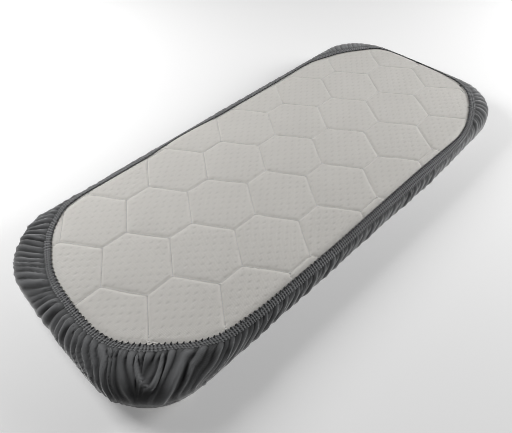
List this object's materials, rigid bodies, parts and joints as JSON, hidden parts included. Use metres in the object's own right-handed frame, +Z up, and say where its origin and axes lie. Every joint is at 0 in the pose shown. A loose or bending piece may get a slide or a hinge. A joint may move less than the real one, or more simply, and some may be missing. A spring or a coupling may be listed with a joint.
{
  "type": "memory foam mattress",
  "caption": "Slim carrycot mattress with rounded corners: foam core in a zipped hexagon-quilted cover, wearing a fitted sheet with a gathered elastic hem, lying underside up.",
  "frame": {"origin": "on the flat sleeping face that the mattress lies on, below the middle of its outline", "axes": "+X along the length towards the end where the sheet reaches least over the underside, +Y across the width away from the zip, +Z up out of the underside; for use the mattress is turned over about X"},
  "size_m": [0.8, 0.35, 0.05],
  "materials": {
    "memory_foam": "open-cell slow-recovery polyurethane foam, matt",
    "base_foam": "open-cell polyurethane foam, matt",
    "backing": "thin non-woven backing of the quilting",
    "wadding": "loose polyester wadding",
    "ticking": "off-white knitted ticking with small dimples in rows",
    "quilting_thread": "off-white polyester sewing thread",
    "seam_tape": "overlocked seam allowance, off-white",
    "zip_tape": "woven polyester zip tape",
    "zip_teeth": "nylon coil teeth",
    "zip_metal": "satin die-cast metal",
    "label": "blank satin ribbon",
    "sheet_jersey": "charcoal cotton jersey, gathered by its elastic",
    "hem": "charcoal elastic under jersey, cover-stitched",
    "overlock_thread": "dark grey overlock thread with short loops"
  },
  "bodies": {
    "mattress": {"memory_foam_layer": "memory_foam", "base_foam_layer": "base_foam", "sleep_face_backing": "backing", "sleep_face_wadding": "wadding", "sleep_face_ticking": "ticking", "underside_backing": "backing", "underside_wadding": "wadding", "underside_ticking": "ticking", "underside_quilting_thread": "quilting_thread", "border_wadding": "wadding", "border_ticking": "ticking", "seam_lower": "seam_tape", "seam_upper": "seam_tape", "zip_tape_lower": "zip_tape", "zip_tape_upper": "zip_tape", "zip_teeth_lower": "zip_teeth", "zip_teeth_upper": "zip_teeth", "zip_stop_closed": "zip_metal", "zip_stop_open": "zip_metal", "zip_garage": "ticking", "care_label": "label", "fitted_sheet": "sheet_jersey", "hem_elastic": "hem", "hem_overlock_thread": "overlock_thread"},
    "zip_slider": {"zip_slider": "zip_metal"}
  },
  "joints": [
    {"name": "zip_slide", "type": "slide", "parent": "mattress", "child": "zip_slider", "axis": [-1, 0, 0], "range_m": [0, 0.5538]}
  ]
}
